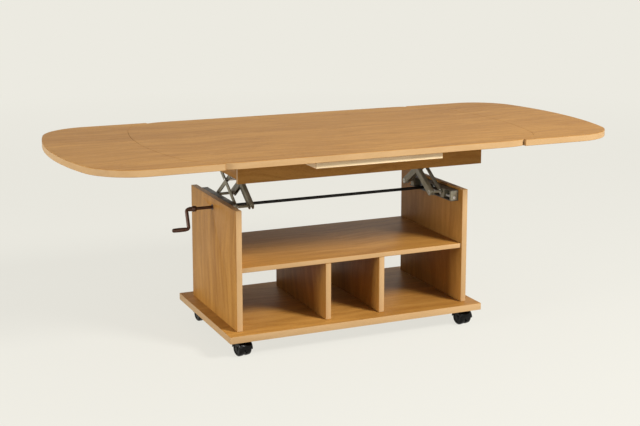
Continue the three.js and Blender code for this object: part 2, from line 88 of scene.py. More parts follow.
class BoardSettings(bpy.types.PropertyGroup):
    face_light: colour("Laminate", "Lighter tone of the laminated faces", linear(190, 139, 69))
    face_dark: colour("Laminate streaks", "Darker tone of the grain", linear(147, 98, 39))
    edge_light: colour("Edge band", "Lighter tone of the edge bands", linear(195, 160, 115))
    edge_dark: colour("Edge band streaks", "Darker tone of the edge bands", linear(178, 141, 94))
    # Painted light: the centre board's edge tones are paler beech, and are also lightened to stand in for the
    # light that the tabletop's overhang shades off that edge.
    pale_painted_light: colour("Centre board edge", "Lighter tone of its edge", linear(252, 228, 186))
    pale_painted_dark: colour("Centre board edge streaks", "Darker tone of its edge", linear(234, 204, 156))
    arris: length("Arris", "Radius of the cabinet boards' edges", 0.0009)
    top_arris: length("Top arris", "Radius of the tabletop's edges", 0.0011)
    end_radius: length("End bow", "Radius of the tabletop's bowed ends", 1.075)
    corner_radius: length("Corner", "Radius of the tabletop's corners", 0.17)
    seam: length("Leaf seam", "Gap between a leaf and the main board", 0.0004)


class CastorSettings(bpy.types.PropertyGroup):
    nylon: colour("Nylon", "Colour of the hoods and wheels", linear(8, 7, 6))
    wheel_inner: length("Wheel inner face", "From the fork's middle to a wheel", 0.005)
    wheel_outer: length("Wheel outer face", "From the fork's middle to a wheel's far side", 0.022)
    wheel_radius: length("Wheel radius", "Radius of the tread", 0.024)
    arris: length("Arris", "Radius of the hood's edges", 0.0005)


class LiftSettings(bpy.types.PropertyGroup):
    steel: colour("Steel", "Lacquered pressed steel", linear(134, 128, 108))
    rail_steel: colour("Rail steel", "Darker lacquer of the lower rails", linear(86, 80, 68))
    bright: colour("Bright steel", "Turned pins and screws", linear(190, 186, 178))
    arris: length("Arris", "Radius of the pressed edges", 0.0004)
    ring_radius: length("Ring radius", "Outer radius of the retaining rings", 0.0072)
    ring_width: length("Ring width", "Thickness of the retaining rings", 0.0008)
    head_radius: length("Screw head", "Radius of the fixing screws' heads", 0.0042)
    head_height: length("Head height", "Height of the fixing screws' heads", 0.0018)
    thread_pitch: length("Thread pitch", "Distance between the lift screw's turns", 0.004)
    thread_depth: length("Thread depth", "Depth of the lift screw's thread", 0.0008)
    screw_radius: length("Screw radius", "Outer radius of the lift screws", 0.005)
    gear_width: length("Gear width", "Length of a bevel gear's rim", 0.003)
    rail_wall: length("Rail wall", "Sheet thickness of the rails", 0.0025)
    lip_height: length("Lip height", "Height of the upper rails' lip by the side skirts", 0.018)
    teeth: IntProperty(name="Gear teeth", description="Teeth on each bevel gear", default=18, min=8)


class CrankSettings(bpy.types.PropertyGroup):
    bronze: colour("Bronze lacquer", "Colour of the crank", linear(74, 46, 30))
    black: colour("Black lacquer", "Colour of the cross shaft", linear(14, 12, 10))
    shaft_radius: length("Shaft radius", "Radius of the cross shaft", 0.005)
    bar_radius: length("Bar radius", "Radius of the crank's bar", 0.0056)
    bend_radius: length("Bend radius", "Radius of the crank's bends", 0.0075)
    elbow_gap: length("Elbow gap", "From the grip to the middle of the crank's arm", 0.0093)
    hub_length: length("Hub length", "Length of the hub on the shaft", 0.019)
    hub_radius: length("Hub radius", "Radius of the rounded hub", 0.0095)
    pin_radius: length("Pin radius", "Radius of the pin in the grip", 0.0032)
    cap_radius: length("Cap radius", "Radius of the cap at the grip's end", 0.005)
    clearance: length("Clearance", "Gap between the grip and what holds it", 0.0003)
    grip_waist: length("Grip waist", "How much the grip narrows at its ends", 0.0005)


class StudioSettings(bpy.types.PropertyGroup):
    backdrop: colour("Backdrop", "Colour of the floor and the background", linear(236, 234, 225))
    key_power: FloatProperty(name="Key light", description="Power of the main light", default=400, min=0,
                             unit="POWER")
    fill: FloatProperty(name="Fill light", description="Strength of the all-round light", default=0.3,
                        min=0)
    lens: FloatProperty(name="Lens", description="Focal length in millimetres", default=70.19, min=1)
    stand: FloatVectorProperty(name="Camera place", description="Where the camera stands", size=3,
                               default=(-1.6536, -3.689, 1.3071), subtype="TRANSLATION")
    yaw: FloatProperty(name="Yaw", description="Camera's turn towards +X", default=0.4146,
                       subtype="ANGLE")
    pitch: FloatProperty(name="Pitch", description="Camera's tilt downwards", default=0.1766,
                         subtype="ANGLE")
    shift: FloatProperty(name="Rise", description="Lens shift as a share of the width", default=-0.1)


# Node trees.


class Graph:
    """Adds nodes to a tree and joins them."""

    def __init__(self, tree):
        self.tree = tree
        self.column = 0

    def add(self, kind, values=None, **settings):
        node = self.tree.nodes.new(kind)
        self.column += 1
        node.location = (self.column * 180, 0)
        for name, value in settings.items():
            setattr(node, name, value)
        for socket, value in (values or {}).items():
            self.put(node.inputs[socket], value)
        return node

    def put(self, socket, value):
        if isinstance(value, bpy.types.NodeSocket):
            self.tree.links.new(value, socket)
        else:
            socket.default_value = value

    def math(self, operation, first, second=0.0):
        return self.add("ShaderNodeMath", {0: first, 1: second}, operation=operation).outputs[0]

    def blend(self, factor, first, second, blend_type="MIX"):
        node = self.add("ShaderNodeMix", {0: factor, 6: first, 7: second}, data_type="RGBA",
                        blend_type=blend_type)
        return node.outputs[2]

    def stretch(self, value, low, high, new_low=0.0, new_high=1.0):
        node = self.add("ShaderNodeMapRange", {"Value": value, "From Min": low, "From Max": high,
                                               "To Min": new_low, "To Max": new_high})
        return node.outputs["Result"]


def shader_group(name, inputs, outputs):
    """A new shader node group with named sockets, given as (name, kind, default)."""
    tree = bpy.data.node_groups.new(name, "ShaderNodeTree")
    for label, kind, default in inputs:
        socket = tree.interface.new_socket(label, in_out="INPUT", socket_type="NodeSocket" + kind)
        if default is not None:
            socket.default_value = default
    for label, kind in outputs:
        tree.interface.new_socket(label, in_out="OUTPUT", socket_type="NodeSocket" + kind)
    graph = Graph(tree)
    return graph, graph.add("NodeGroupInput").outputs, graph.add("NodeGroupOutput").inputs


def make_grain_group():
    """Beech: long soft streaks, fine fibres and short dark flecks, all along X."""
    graph, given, result = shader_group(
        "beech_grain",
        [("Vector", "Vector", None), ("Light", "Color", (0.6, 0.4, 0.2, 1)),
         ("Dark", "Color", (0.4, 0.25, 0.1, 1)), ("Streaks", "Float", 1.0), ("Flecks", "Float", 1.0)],
        [("Color", "Color"), ("Height", "Float"), ("Roughness", "Float")])

    def combined(operation, first, second):
        return graph.add("ShaderNodeVectorMath", {0: first, 1: second}, operation=operation).outputs[0]

    middle, sideways = (0.5, 0.5, 0.5), (0, 0.13, 0.13)
    wander = graph.add("ShaderNodeTexNoise", {"Vector": given["Vector"], "Scale": 2.4, "Detail": 1.0})
    sway = combined("MULTIPLY", combined("SUBTRACT", wander.outputs["Color"], middle), sideways)
    swayed = combined("ADD", given["Vector"], sway)

    def noise(stretch, scale, detail, rough=0.5, distortion=0.0):
        """Noise drawn out along the swayed grain."""
        place = graph.add("ShaderNodeMapping", {"Vector": swayed, "Scale": stretch})
        node = graph.add("ShaderNodeTexNoise", {"Vector": place.outputs[0], "Scale": scale,
                         "Detail": detail, "Roughness": rough, "Distortion": distortion})
        return node.outputs[0]

    streaks = graph.stretch(noise((0.8, 13, 13), 3.2, 4, rough=0.62, distortion=0.3), 0.36, 0.64)
    bands = graph.stretch(noise((0.3, 2.6, 2.6), 2.3, 2), 0.35, 0.65)
    fibres = graph.stretch(noise((7, 260, 260), 2.0, 3, rough=0.7), 0.3, 0.7)
    fleck = graph.stretch(noise((190, 1150, 1150), 1.6, 1, rough=0.4), 0.58, 0.68)
    streak_share, band_share, fibre_share, fleck_depth = 0.45, 0.3, 0.25, 0.42
    tone = graph.math("ADD", graph.math("MULTIPLY", streaks, streak_share),
                      graph.math("MULTIPLY", bands, band_share))
    tone = graph.math("ADD", tone, graph.math("MULTIPLY", fibres, fibre_share))
    tone = graph.math("MULTIPLY", tone, given["Streaks"])
    wood = graph.blend(tone, given["Light"], given["Dark"])
    fleck = graph.math("MULTIPLY", graph.math("MULTIPLY", fleck, given["Flecks"]), fleck_depth)
    wood = graph.blend(fleck, wood, given["Dark"], "MULTIPLY")
    graph.put(result["Color"], wood)
    graph.put(result["Height"], graph.math("SUBTRACT", fibres, fleck))
    graph.put(result["Roughness"], graph.stretch(fibres, 0.0, 1.0, 0.4, 0.52))


def make_speckle_group():
    """Small changes of tone and gloss, as on lacquer and moulded plastic."""
    graph, given, result = shader_group(
        "surface_speckle",
        [("Vector", "Vector", None), ("Base", "Color", (0.5, 0.5, 0.5, 1)), ("Size", "Float", 300.0),
         ("Change", "Float", 0.2), ("Roughness", "Float", 0.5)],
        [("Color", "Color"), ("Height", "Float"), ("Roughness", "Float")])

    def noise(scale, detail):
        return graph.add("ShaderNodeTexNoise", {"Vector": given["Vector"], "Scale": scale,
                                                "Detail": detail}).outputs[0]

    fine, broad = noise(given["Size"], 3.0), noise(28.0, 2.0)
    darker = graph.blend(given["Change"], given["Base"], (0.0, 0.0, 0.0, 1.0))
    lighter = graph.blend(given["Change"], given["Base"], given["Base"], "ADD")
    graph.put(result["Color"], graph.blend(graph.stretch(broad, 0.3, 0.7), darker, lighter))
    graph.put(result["Height"], fine)
    change = graph.stretch(broad, 0.3, 0.7, -0.06, 0.08)
    graph.put(result["Roughness"], graph.math("ADD", given["Roughness"], change))


def group_node(graph, name, values):
    return graph.add("ShaderNodeGroup", values, node_tree=bpy.data.node_groups[name]).outputs


def fresh_graph(owner):
    """The emptied tree of a material or a world."""
    owner.use_nodes = True
    owner.node_tree.nodes.clear()
    return Graph(owner.node_tree)


def new_material(name):
    """A new material with a principled surface: (graph, shader)."""
    graph = fresh_graph(bpy.data.materials.new(name))
    shader = graph.add("ShaderNodeBsdfPrincipled")
    graph.add("ShaderNodeOutputMaterial", {"Surface": shader.outputs[0]})
    return graph, shader


def join_surface(graph, shader, group, strength, distance=0.0002):
    """Feeds a group's colour, roughness and height to the shader."""
    bump = graph.add("ShaderNodeBump", {"Height": group["Height"], "Strength": strength,
                                        "Distance": distance})
    graph.put(shader.inputs["Base Color"], group["Color"])
    graph.put(shader.inputs["Roughness"], group["Roughness"])
    graph.put(shader.inputs["Normal"], bump.outputs[0])


def beech_material(name, light, dark, turn, streaks, flecks, gloss=0.1):
    """Satin beech whose grain runs along X once turned by these Euler angles."""
    graph, shader = new_material(name)
    place = graph.add("ShaderNodeTexCoord").outputs["Object"]
    turned_place = graph.add("ShaderNodeMapping", {"Vector": place, "Rotation": turn})
    grain = group_node(graph, "beech_grain", {"Vector": turned_place.outputs[0], "Light": (*light, 1),
                       "Dark": (*dark, 1), "Streaks": streaks, "Flecks": flecks})
    join_surface(graph, shader, grain, 0.12)
    shader.inputs["Specular IOR Level"].default_value = gloss


def speckled_material(name, base, size, change, roughness, metallic=0.0, bump=0.1, gloss=0.5):
    """Lacquer, metal or plastic with a fine speckle of this many grains to the metre."""
    graph, shader = new_material(name)
    place = graph.add("ShaderNodeTexCoord").outputs["Object"]
    speckle = group_node(graph, "surface_speckle", {"Vector": place, "Base": (*base, 1), "Size": size,
                         "Change": change, "Roughness": roughness})
    join_surface(graph, shader, speckle, bump)
    shader.inputs["Metallic"].default_value = metallic
    shader.inputs["Specular IOR Level"].default_value = gloss


def make_materials(scene):
    boards, castors, lift, crank = scene.boards, scene.castors, scene.lift, scene.crank
    make_grain_group()
    make_speckle_group()
    for way, turn in WAYS.items():
        beech_material(f"beech_face_{way}", boards.face_light, boards.face_dark, turn, 1.0, 1.0)
        beech_material(f"beech_edge_{way}", boards.edge_light, boards.edge_dark, turn, 0.8, 0.5)
    # Painted light: the centre board's edge material is paler beech, lightened further in place of the light that
    # the top's overhang shades off it.
    beech_material("beech_pale", boards.pale_painted_light, boards.pale_painted_dark, WAYS["long"], 0.8, 0.5)
    speckled_material("castor_nylon", castors.nylon, 500, change=0.15, roughness=0.15, gloss=0.16)
    speckled_material("lacquered_steel", lift.steel, 420, change=0.25, roughness=0.48, metallic=0.2)
    speckled_material("rail_steel", lift.rail_steel, 420, change=0.25, roughness=0.5, metallic=0.2)
    speckled_material("bright_steel", lift.bright, 600, change=0.12, roughness=0.3, metallic=0.95,
                      bump=0.05)
    speckled_material("bronze_lacquer", crank.bronze, 420, change=0.2, roughness=0.38, metallic=0.4)
    speckled_material("black_lacquer", crank.black, 420, change=0.2, roughness=0.36, metallic=0.2,
                      gloss=0.3)


# Meshes.


def new_piece(name, mesh, materials):
    """An object at the origin with these materials, in order."""
    piece = bpy.data.objects.new(name, mesh)
    bpy.context.scene.collection.objects.link(piece)
    for material in materials:
        mesh.materials.append(bpy.data.materials[material])
    return piece


def stand_for(piece, node):
    """The piece takes the place of a CAD node, on the node's body."""
    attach(piece, BODY_OF[node])
    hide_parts(node)


def mesh_from(name, work):
    """The finished work as a smooth mesh."""
    mesh = bpy.data.meshes.new(name)
    work.to_mesh(mesh)
    work.free()
    mesh.shade_smooth()
    return mesh


def crease(mesh):
    """Smooth shading that keeps the creases sharp."""
    mesh.shade_smooth()
    mesh.set_sharp_from_angle(angle=CREASE)


def merged(node):
    """A CAD node's shape with its triangles joined into whole faces."""
    work = bmesh.new()
    work.from_mesh(frame["nodes"][node].data)
    bmesh.ops.remove_doubles(work, verts=work.verts, dist=0.00001)
    bmesh.ops.dissolve_limit(work, angle_limit=math.radians(1), verts=work.verts, edges=work.edges)
    return work


def softened(node, mesh, materials, radius, segments=2):
    """Stands for a CAD node with its edges rounded, in the finish of the broad faces."""
    piece = new_piece(f"{node}_finished", mesh, materials)
    rounding = piece.modifiers.new("Rounded edges", "BEVEL")
    rounding.width = radius
    rounding.segments = segments
    rounding.limit_method = "ANGLE"
    rounding.angle_limit = math.radians(32)
    rounding.harden_normals = True
    rounding.material = 0
    stand_for(piece, node)


def refined(node, material, radius):
    """A CAD node's shape with rounded edges and one finish."""
    softened(node, mesh_from(node, merged(node)), [material], radius)


def paint_board(mesh, thin_axis, way, edge=None):
    """Gives the broad faces their laminate, and the rim edge bands whose grain runs along it."""
    names, steep = [f"beech_face_{way}"], 0.7
    for face in mesh.polygons:
        name = names[0]
        if abs(face.normal.dot(thin_axis)) < steep:
            run = face.normal.cross(thin_axis)
            axis = max(range(3), key=lambda i: abs(run[i]))
            name = edge or f"beech_edge_{list(WAYS)[axis]}"
        if name not in names:
            names.append(name)
        face.material_index = names.index(name)
    return names


def board(node, thin_axis, way, radius, edge=None):
    """A laminated board: grained faces, paler edge bands and softened arrises."""
    mesh = mesh_from(node, merged(node))
    softened(node, mesh, paint_board(mesh, thin_axis, way, edge), radius)


def prism(outline, bottom, top):
    """A flat board from its outline, counter-clockwise seen from above."""
    work = bmesh.new()
    base = work.faces.new([work.verts.new((x, y, bottom)) for x, y in outline])
    raised = bmesh.ops.extrude_face_region(work, geom=[base])["geom"]
    corners = [part for part in raised if isinstance(part, bmesh.types.BMVert)]
    bmesh.ops.translate(work, verts=corners, vec=(0, 0, top - bottom))
    bmesh.ops.recalc_face_normals(work, faces=work.faces)
    return work


def around(count):
    """The angles of this many even steps round a circle."""
    return [math.tau * i / count for i in range(count)]


def add_turned(work, profile, origin, axis, steps=40):
    """Turns (distance along, radius) points round an axis, into closed faces."""
    turn = ALONG_X.rotation_difference(axis).to_matrix()
    rings = []
    for along, radius in profile:
        angles = [0.0] if radius == 0 else around(steps)
        points = [Vector((along, radius * math.cos(a), radius * math.sin(a))) for a in angles]
        rings.append([work.verts.new(Vector(origin) + turn @ point) for point in points])
    for near, far in zip(rings, rings[1:]):
        for i in range(steps):
            j = (i + 1) % steps
            corners = [near[i % len(near)], near[j % len(near)], far[j % len(far)], far[i % len(far)]]
            corners = list(dict.fromkeys(corners))
            if len(corners) > 2:
                work.faces.new(corners)


def add_rings(work, rings):
    """Joins a row of equal rings of corners into the faces of one solid."""
    for near, far in zip(rings, rings[1:]):
        for i, corner in enumerate(near):
            j = (i + 1) % len(near)
            work.faces.new((corner, near[j], far[j], far[i]))
    work.faces.new(rings[0])
    work.faces.new(list(reversed(rings[-1])))


def shaped(node, work, materials):
    """Stands for a CAD node with finished work, its faces turned outwards."""
    bmesh.ops.recalc_face_normals(work, faces=work.faces)
    mesh = mesh_from(node, work)
    crease(mesh)
    piece = new_piece(f"{node}_finished", mesh, materials)
    stand_for(piece, node)
    return piece


def turned(node, profile, origin, axis, material, steps=40):
    """Stands for a CAD node with a turned piece, from its (distance along, radius) profile."""
    work = bmesh.new()
    add_turned(work, profile, origin, axis, steps)
    shaped(node, work, [material])


def arc(centre, radius, start, end, steps):
    """Points along an arc, from the start angle to the end angle."""
    angles = [start + (end - start) * i / steps for i in range(steps + 1)]
    return [(centre[0] + radius * math.cos(a), centre[1] + radius * math.sin(a)) for a in angles]


# Boards.


def boat_outline(half_length, half_width, end_radius, corner_radius):
    """The right half of the tabletop's outline: bowed end and round corners, front to rear."""
    end_centre = half_length - end_radius
    reach = math.sqrt((end_radius - corner_radius) ** 2 - (half_width - corner_radius) ** 2)
    corner = (end_centre + reach, half_width - corner_radius)
    sweep = math.atan2(corner[1], reach)
    corner_steps, end_steps = 28, 48
    front = arc((corner[0], -corner[1]), corner_radius, -math.pi / 2, -sweep, corner_steps)
    end = arc((end_centre, 0), end_radius, -sweep, sweep, end_steps)
    rear = arc(corner, corner_radius, sweep, math.pi / 2, corner_steps)
    return front + end[1:-1] + rear


def leaf_outline(boards, half_length, travel, half_width, tips):
    """The right leaf: the outer end of the whole top, less the main board and the seam."""
    outer = boat_outline(half_length, half_width, boards.end_radius, boards.corner_radius)
    inner = boat_outline(half_length - travel + boards.seam, half_width + boards.seam,
                         boards.end_radius + boards.seam, boards.corner_radius + boards.seam)
    kept = [point for point in inner if point[0] > tips]
    before = inner[inner.index(kept[0]) - 1]
    share = (tips - before[0]) / (kept[0][0] - before[0])
    edge = before[1] + share * (kept[0][1] - before[1])
    inside = [(tips, -edge), *reversed(kept), (tips, edge)]
    return [(tips, -half_width), *outer, (tips, half_width), *inside]


class TABLE_OT_tabletop(bpy.types.Operator):
    """Makes the main board and the two leaves with their bowed ends"""

    bl_idname = "table.tabletop"
    bl_label = "Tabletop"

    def execute(self, context):
        boards = context.scene.boards
        low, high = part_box("main_top")
        leaf_low, leaf_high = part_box("leaf_right")
        half_width = high.y
        travel = leaf_high.x - high.x
        right = boat_outline(high.x, half_width, boards.end_radius, boards.corner_radius)
        outlines = {"main_top": right + [(-x, -y) for x, y in right]}
        leaf = leaf_outline(boards, leaf_high.x, travel, half_width, leaf_low.x)
        outlines["leaf_right"] = leaf
        outlines["leaf_left"] = [(-x, -y) for x, y in leaf]
        for node, outline in outlines.items():
            mesh = mesh_from(node, prism(outline, low.z, high.z))
            softened(node, mesh, paint_board(mesh, UPRIGHT, "long"), boards.top_arris, 3)
        return {"FINISHED"}


class TABLE_OT_cabinet(bpy.types.Operator):
    """Finishes the boards of the cabinet under the lift"""

    bl_idname = "table.cabinet"
    bl_label = "Cabinet"

    def execute(self, context):
        arris = context.scene.boards.arris
        board("base_plate", UPRIGHT, "long", arris)
        board("middle_shelf", UPRIGHT, "long", arris)
        for side in SIDES:
            board(f"side_panel_{side}", ALONG_X, "upright", arris)
            board(f"divider_{side}", ALONG_X, "upright", arris)
        return {"FINISHED"}


class TABLE_OT_top_frame(bpy.types.Operator):
    """Finishes the skirts, the centre board, the leaf bearers and the top's pegs"""

    bl_idname = "table.top_frame"
    bl_label = "Frame under the top"

    def execute(self, context):
        arris = context.scene.boards.arris
        # The centre board's edge takes the pale beech with painted light.
        board("centre_board", UPRIGHT, "deep", arris, "beech_pale")
        for face in ("front", "rear"):
            board(f"skirt_{face}", ALONG_Y, "long", arris)
        for side in SIDES:
            board(f"skirt_{side}", ALONG_X, "deep", arris)
            for end in ("front", "rear"):
                refined(f"leaf_bearer_{side}_{end}", "beech_edge_long", arris)
            self.peg(f"top_peg_{side}")
        return {"FINISHED"}

    def peg(self, node):
        """A beech dowel with shallow flutes and a chamfered foot."""
        low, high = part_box(node)
        radius = (high.x - low.x) / 2
        chamfer, depth, flutes, steps = radius / 3, radius / 14, 18, 6
        middle = (low + high) / 2
        heights = [(0, radius - chamfer), (chamfer, radius), (high.z - low.z, radius)]
        work = bmesh.new()
        rings = []
        for height, size in heights:
            ring = []
            for angle in around(flutes * steps):
                reach = size - depth * (0.5 - 0.5 * math.cos(angle * flutes))
                ring.append(work.verts.new((middle.x + reach * math.cos(angle),
                                            middle.y + reach * math.sin(angle), low.z + height)))
            rings.append(ring)
        add_rings(work, rings)
        shaped(node, work, ["beech_edge_upright"])


# Castors.


class TABLE_OT_castors(bpy.types.Operator):
    """Makes the four twin-wheel castors"""

    bl_idname = "table.castors"
    bl_label = "Castors"

    def execute(self, context):
        castors = context.scene.castors
        for corner in CORNERS:
            refined(f"castor_fork_{corner}", "castor_nylon", castors.arris)
            self.wheels(castors, corner)
        return {"FINISHED"}

    def wheels(self, castors, corner):
        """Two domed wheels on their axle, with a dished hub and a cap in each."""
        joint = JOINTS[f"roll_{corner}"]
        inner, outer, radius = castors.wheel_inner, castors.wheel_outer, castors.wheel_radius
        width, axle = outer - inner, radius * 0.11
        shoulder = [(inner + width * share, radius * size) for share, size in
                    ((0, 0.93), (0.05, 0.99), (0.12, 1), (0.62, 1), (0.74, 0.985), (0.84, 0.94),
                     (0.92, 0.87), (0.97, 0.8), (1, 0.72))]
        dish = [(outer - width * share, radius * size) for share, size in
                ((0.02, 0.66), (0.12, 0.63), (0.14, 0.3), (0.1, 0.27), (0.02, 0.25), (0, 0.2))]
        half = [(0, axle), (inner, axle), *shoulder, *dish, (outer, 0)]
        profile = [(-along, size) for along, size in reversed(half)] + half[1:]
        turned(f"castor_wheels_{corner}", profile, joint["pos_m"], Vector(joint["axis"]),
               "castor_nylon", steps=56)


# Lift.


def toothed_gear(work, apex, direction, bore, radius, teeth, width):
    """A bevel gear as a cone with straight teeth, its small end towards the apex."""
    turn = ALONG_X.rotation_difference(direction).to_matrix()
    tooth_share, steepness, back, steps = 0.16, 1.6, radius * 0.92, 6
    rings = []
    for along, size, cut_share in ((bore, bore, tooth_share), (radius, radius, tooth_share),
                                   (radius, radius, 0), (radius + width, back, 0)):
        ring = []
        for angle in around(teeth * steps):
            wave = max(-1, min(1, steepness * math.cos(angle * teeth)))
            reach = size * (1 - cut_share * (0.5 - 0.5 * wave))
            point = Vector((along, reach * math.cos(angle), reach * math.sin(angle)))
            ring.append(work.verts.new(Vector(apex) + turn @ point))
        rings.append(ring)
    add_rings(work, rings)


def node_group(name, inputs):
    """A new geometry node tree with named inputs, given as (name, kind)."""
    tree = bpy.data.node_groups.new(name, "GeometryNodeTree")
    tree.interface.new_socket("Geometry", in_out="INPUT", socket_type="NodeSocketGeometry")
    for label, kind in inputs:
        tree.interface.new_socket(label, in_out="INPUT", socket_type="NodeSocket" + kind)
    tree.interface.new_socket("Geometry", in_out="OUTPUT", socket_type="NodeSocketGeometry")
    graph = Graph(tree)
    return graph, graph.add("NodeGroupInput").outputs, graph.add("NodeGroupOutput").inputs


def apply_nodes(piece, tree_name, values):
    """Runs a tree on the piece with these values and keeps the result as its plain mesh."""
    modifier = piece.modifiers.new(tree_name, "NODES")
    modifier.node_group = bpy.data.node_groups[tree_name]
    for item in modifier.node_group.interface.items_tree:
        if item.in_out == "INPUT" and item.name in values:
            modifier[item.identifier] = values[item.name]
    evaluated = piece.evaluated_get(bpy.context.evaluated_depsgraph_get())
    mesh = bpy.data.meshes.new_from_object(evaluated)
    piece.modifiers.clear()
    piece.data = mesh


def end_tree(graph, shapes, given, result, points=None):
    """Joins the shapes, sets them on the points if there are any, and gives them their finish."""
    joined = graph.add("GeometryNodeJoinGeometry")
    for shape in shapes:
        graph.tree.links.new(shape, joined.inputs[0])
    if points is not None:
        joined = graph.add("GeometryNodeInstanceOnPoints", {"Points": points,
                           "Instance": joined.outputs[0], "Rotation": given["Turn"]})
    solid = graph.add("GeometryNodeRealizeInstances", {"Geometry": joined.outputs[0]})
    finish = graph.add("GeometryNodeSetMaterial", {"Geometry": solid.outputs[0],
                                                   "Material": given["Finish"]})
    graph.put(result["Geometry"], finish.outputs[0])


def make_heads_tree(cap_share=0.82):
    """Puts a round head with a domed cap on every point, facing a given way."""
    graph, given, result = node_group("round_heads", [
        ("Radius", "Float"), ("Height", "Float"), ("Dome", "Float"), ("Turn", "Vector"),
        ("Finish", "Material")])
    disc = graph.add("GeometryNodeMeshCylinder", {"Vertices": 24, "Radius": given["Radius"],
                                                  "Depth": given["Height"]}, fill_type="NGON")
    cap = graph.add("GeometryNodeMeshUVSphere", {"Segments": 24, "Rings": 10, "Radius": given["Radius"]})
    flat = graph.add("ShaderNodeCombineXYZ", {"X": cap_share, "Y": cap_share, "Z": given["Dome"]})
    rise = graph.add("ShaderNodeCombineXYZ", {"Z": graph.math("MULTIPLY", given["Height"], 0.5)})
    dome = graph.add("GeometryNodeTransform", {"Geometry": cap.outputs["Mesh"],
                     "Scale": flat.outputs[0], "Translation": rise.outputs[0]})
    shapes = (disc.outputs["Mesh"], dome.outputs["Geometry"])
    end_tree(graph, shapes, given, result, points=given["Geometry"])


def make_thread_tree():
    """Winds a ridge round a core that stands on the origin, along Z."""
    graph, given, result = node_group("wound_thread", [
        ("Core", "Float"), ("Ridge", "Float"), ("Length", "Float"), ("Turns", "Float"),
        ("Finish", "Material")])
    spiral = graph.add("GeometryNodeCurveSpiral", {"Resolution": 20, "Rotations": given["Turns"],
                       "Start Radius": given["Core"], "End Radius": given["Core"],
                       "Height": given["Length"]})
    section = graph.add("GeometryNodeCurvePrimitiveCircle", {"Resolution": 6, "Radius": given["Ridge"]})
    ridge = graph.add("GeometryNodeCurveToMesh", {"Curve": spiral.outputs[0],
                      "Profile Curve": section.outputs[0], "Fill Caps": True})
    core = graph.add("GeometryNodeMeshCylinder", {"Vertices": 32, "Radius": given["Core"],
                                                  "Depth": given["Length"]}, fill_type="NGON")
    rise = graph.add("ShaderNodeCombineXYZ", {"Z": graph.math("MULTIPLY", given["Length"], 0.5)})
    stood = graph.add("GeometryNodeTransform", {"Geometry": core.outputs["Mesh"],
                                                "Translation": rise.outputs[0]})
    end_tree(graph, (ridge.outputs[0], stood.outputs["Geometry"]), given, result)


def put_heads(name, body, points, direction, radius, height, dome, finish="bright_steel"):
    """Round heads at these points of a body, all facing the same way."""
    mesh = bpy.data.meshes.new(name)
    mesh.from_pydata([tuple(point) for point in points], [], [])
    piece = new_piece(name, mesh, [])
    turn = UPRIGHT.rotation_difference(direction).to_euler()
    apply_nodes(piece, "round_heads", {"Radius": radius, "Height": height, "Dome": dome,
                "Turn": tuple(turn), "Finish": bpy.data.materials[finish]})
    crease(piece.data)
    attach(piece, body)


